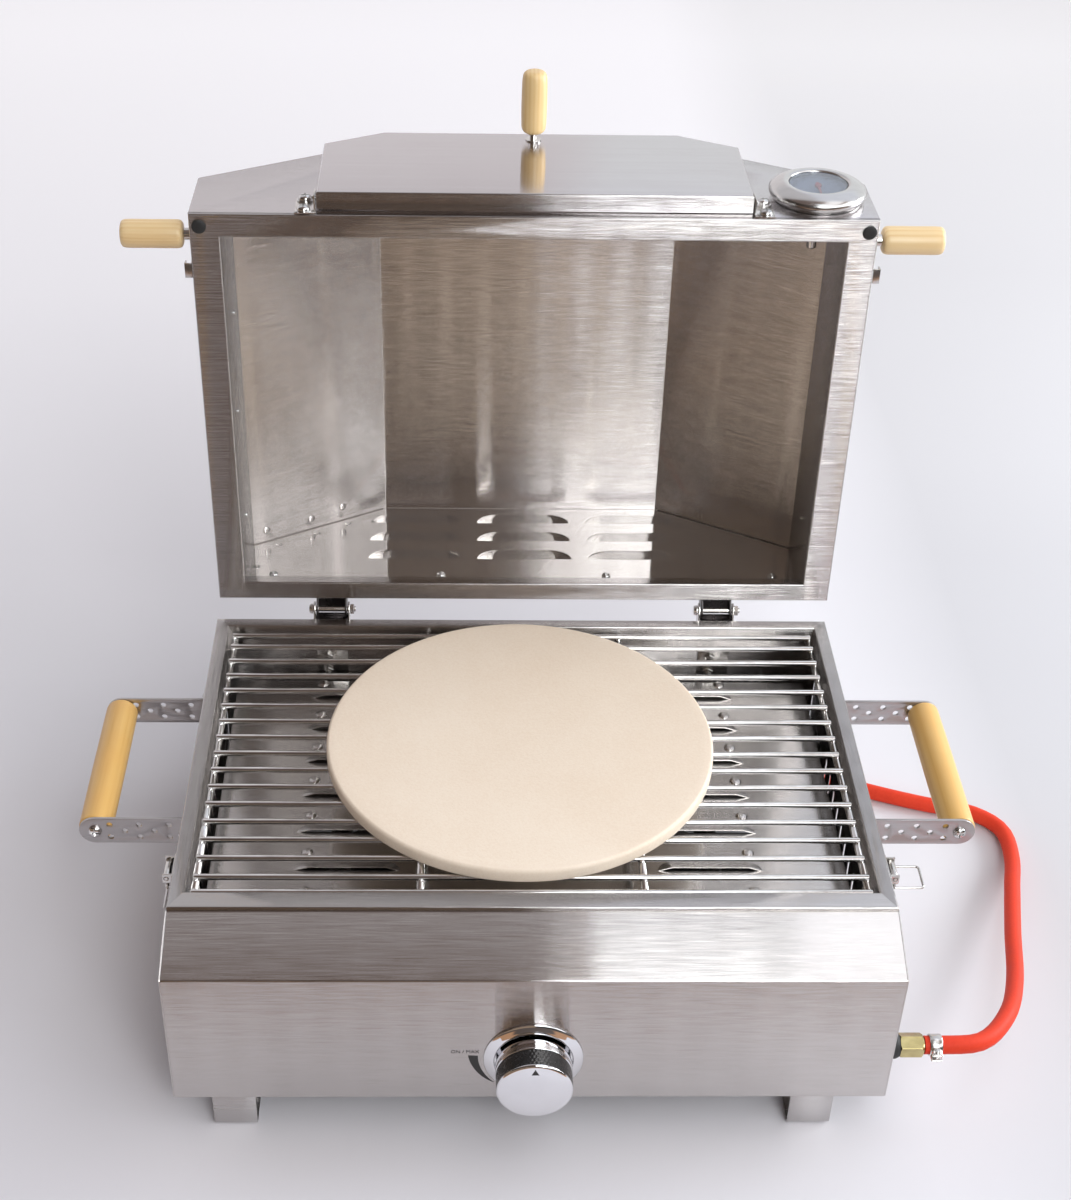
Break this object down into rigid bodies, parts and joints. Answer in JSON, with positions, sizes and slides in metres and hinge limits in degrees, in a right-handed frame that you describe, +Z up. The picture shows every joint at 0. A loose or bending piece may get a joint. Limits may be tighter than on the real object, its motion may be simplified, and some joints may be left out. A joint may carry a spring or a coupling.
{
  "type": "gas grill pizza oven",
  "caption": "Table-top stainless gas grill with rod grate and round baking stone under a deep hinged hood with an oven door, thermometer, wooden grips and a gas hose.",
  "frame": {"origin": "on the floor under the middle of the object, hose and regulator left out", "axes": "+Z up, front with the gas knob faces -Y, +X to the right seen from the front, hinges at +Y"},
  "size_m": [0.7806, 0.5998, 0.6101],
  "materials": {
    "steel": "brushed",
    "bright_steel": "nickel plated",
    "dark_steel": "satin",
    "chrome": "polished",
    "wood": "smooth turned softwood",
    "stone": "fine sandy",
    "brass": "satin",
    "hose": "smooth matte",
    "rubber": "matte",
    "ceramic": "glazed",
    "glass": "clear",
    "needle": "satin",
    "cast": "die cast"
  },
  "bodies": {
    "base": {"base_left_side_panel": "steel", "base_right_side_panel": "steel", "base_rear_panel": "steel", "base_bottom_panel": "steel", "base_front_panel": "steel", "base_rim_frame": "steel", "foot_front_left": "steel", "foot_front_right": "steel", "foot_rear_left": "steel", "foot_rear_right": "steel", "flame_tamer": "steel", "main_burner": "dark_steel", "gas_valve_body": "brass", "gas_inlet_pipe": "brass", "igniter_electrode": "ceramic", "gas_inlet_grommet": "rubber", "gas_inlet_nut": "brass", "hose_clamp": "bright_steel", "gas_hose": "hose", "gas_regulator": "cast", "knob_bezel": "chrome", "side_handle_arm_left_front": "steel", "side_handle_arm_left_rear": "steel", "side_handle_arm_right_front": "steel", "side_handle_arm_right_rear": "steel", "side_handle_grip_left": "wood", "side_handle_grip_right": "wood", "hinge_base_bracket_left": "dark_steel", "hinge_base_bracket_right": "dark_steel", "hinge_bolt_left": "bright_steel", "hinge_bolt_right": "bright_steel", "latch_plate_left": "dark_steel", "latch_plate_right": "dark_steel"},
    "valve_stem": {"valve_stem": "brass"},
    "control_knob": {"control_knob": "chrome"},
    "grate": {"cooking_grate": "bright_steel"},
    "stone": {"pizza_stone": "stone"},
    "latch_lever_left": {"latch_lever_left": "bright_steel"},
    "latch_lever_right": {"latch_lever_right": "bright_steel"},
    "latch_bail_left": {"latch_bail_left": "bright_steel"},
    "latch_bail_right": {"latch_bail_right": "bright_steel"},
    "hood": {"lid_hood_shell": "steel", "lid_front_wall": "steel", "lid_rear_wall": "steel", "lid_mouth_frame": "steel", "hinge_lid_bracket_left": "dark_steel", "hinge_lid_bracket_right": "dark_steel", "lid_side_knob_left": "wood", "lid_side_knob_right": "wood", "latch_keeper_left": "bright_steel", "latch_keeper_right": "bright_steel", "gauge_housing": "steel", "gauge_glass": "glass", "door_pivot_bracket_left": "dark_steel", "door_pivot_bracket_right": "dark_steel"},
    "gauge_needle": {"gauge_needle": "needle"},
    "oven_door": {"oven_door": "steel", "door_handle_grip": "wood"}
  },
  "joints": [
    {"name": "lid_hinge", "type": "hinge", "parent": "base", "child": "hood", "pos_m": [0, 0.1446, 0.1808], "axis": [1, 0, 0], "range_deg": [0, 91.2]},
    {"name": "door_hinge", "type": "hinge", "parent": "hood", "child": "oven_door", "pos_m": [0.002, 0.16352, 0.55046], "axis": [1, 0, 0], "range_deg": [0, 95]},
    {"name": "knob_push", "type": "slide", "parent": "base", "child": "valve_stem", "axis": [0, 1, 0], "range_m": [0, 0.003], "stiffness_N_per_m": 800},
    {"name": "knob_turn", "type": "hinge", "parent": "valve_stem", "child": "control_knob", "pos_m": [0.0007, -0.2669, 0.076], "axis": [0, -1, 0], "range_deg": [0, 135]},
    {"name": "gauge_needle_turn", "type": "hinge", "parent": "hood", "child": "gauge_needle", "pos_m": [0.222, 0.19342, 0.54104], "axis": [0, 0.0209, 0.9998], "range_deg": [0, 270]},
    {"name": "latch_lever_left_hinge", "type": "hinge", "parent": "base", "child": "latch_lever_left", "pos_m": [-0.2677, -0.1689, 0.17], "axis": [0, 1, 0], "range_deg": [0, 150]},
    {"name": "latch_lever_right_hinge", "type": "hinge", "parent": "base", "child": "latch_lever_right", "pos_m": [0.2677, -0.1689, 0.17], "axis": [0, -1, 0], "range_deg": [0, 150]},
    {"name": "latch_bail_left_hinge", "type": "hinge", "parent": "latch_lever_left", "child": "latch_bail_left", "pos_m": [-0.2672, -0.1689, 0.163], "axis": [0, -1, 0], "range_deg": [-160, 0]},
    {"name": "latch_bail_right_hinge", "type": "hinge", "parent": "latch_lever_right", "child": "latch_bail_right", "pos_m": [0.2672, -0.1689, 0.163], "axis": [0, 1, 0], "range_deg": [-85, 75]},
    {"name": "grate_lift", "type": "slide", "parent": "base", "child": "grate", "axis": [0, 0, -1], "range_m": [-0.15, 0]},
    {"name": "stone_lift", "type": "slide", "parent": "grate", "child": "stone", "axis": [0, 0, -1], "range_m": [-0.15, 0]}
  ]
}
